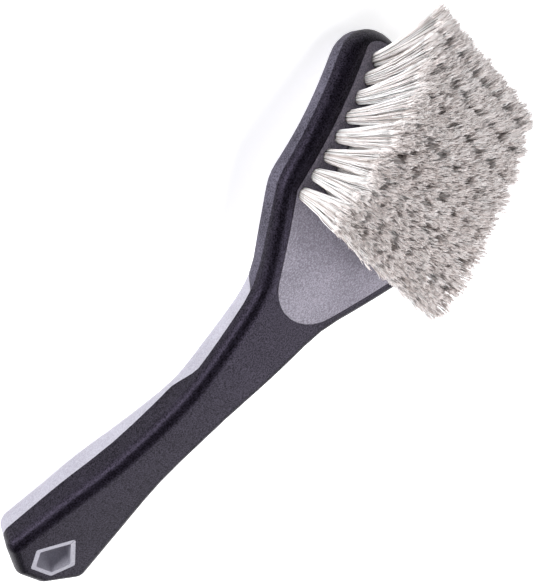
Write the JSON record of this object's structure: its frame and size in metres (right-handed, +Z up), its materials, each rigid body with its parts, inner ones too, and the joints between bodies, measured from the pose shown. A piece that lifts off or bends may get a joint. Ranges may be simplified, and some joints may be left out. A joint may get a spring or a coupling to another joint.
{
  "type": "wheel brush",
  "caption": "Short-handled wheel brush with an angled, curved head, soft-skinned grip, drilled bristle tufts and a pentagonal hang hole.",
  "frame": {"origin": "on the floor plane, below the middle of the brush's box as it lies on its back", "axes": "+X along the brush from the butt to the tip of the head, +Y across the head, +Z up, the way the bristles point"},
  "size_m": [0.2945, 0.0954, 0.0717],
  "materials": {
    "core_grey": "satin, moulded polypropylene",
    "grip_black": "fine matt grain, thermoplastic elastomer",
    "bumper_black": "fine matt grain, thermoplastic elastomer",
    "plate_grey": "satin, moulded polypropylene",
    "bristle": "flagged polymer filament",
    "anchor_wire": "drawn flat wire"
  },
  "bodies": {
    "root": {"handle_core": "core_grey", "grip_overmould": "grip_black", "rear_bumper": "bumper_black", "tuft_plate": "plate_grey", "tuft_row_1": "bristle", "tuft_row_2": "bristle", "tuft_row_3": "bristle", "tuft_row_4": "bristle", "tuft_row_5": "bristle", "tuft_row_6": "bristle", "tuft_row_7": "bristle", "tuft_row_8": "bristle", "anchor_row_1": "anchor_wire", "anchor_row_2": "anchor_wire", "anchor_row_3": "anchor_wire", "anchor_row_4": "anchor_wire", "anchor_row_5": "anchor_wire", "anchor_row_6": "anchor_wire", "anchor_row_7": "anchor_wire", "anchor_row_8": "anchor_wire"}
  },
  "joints": []
}
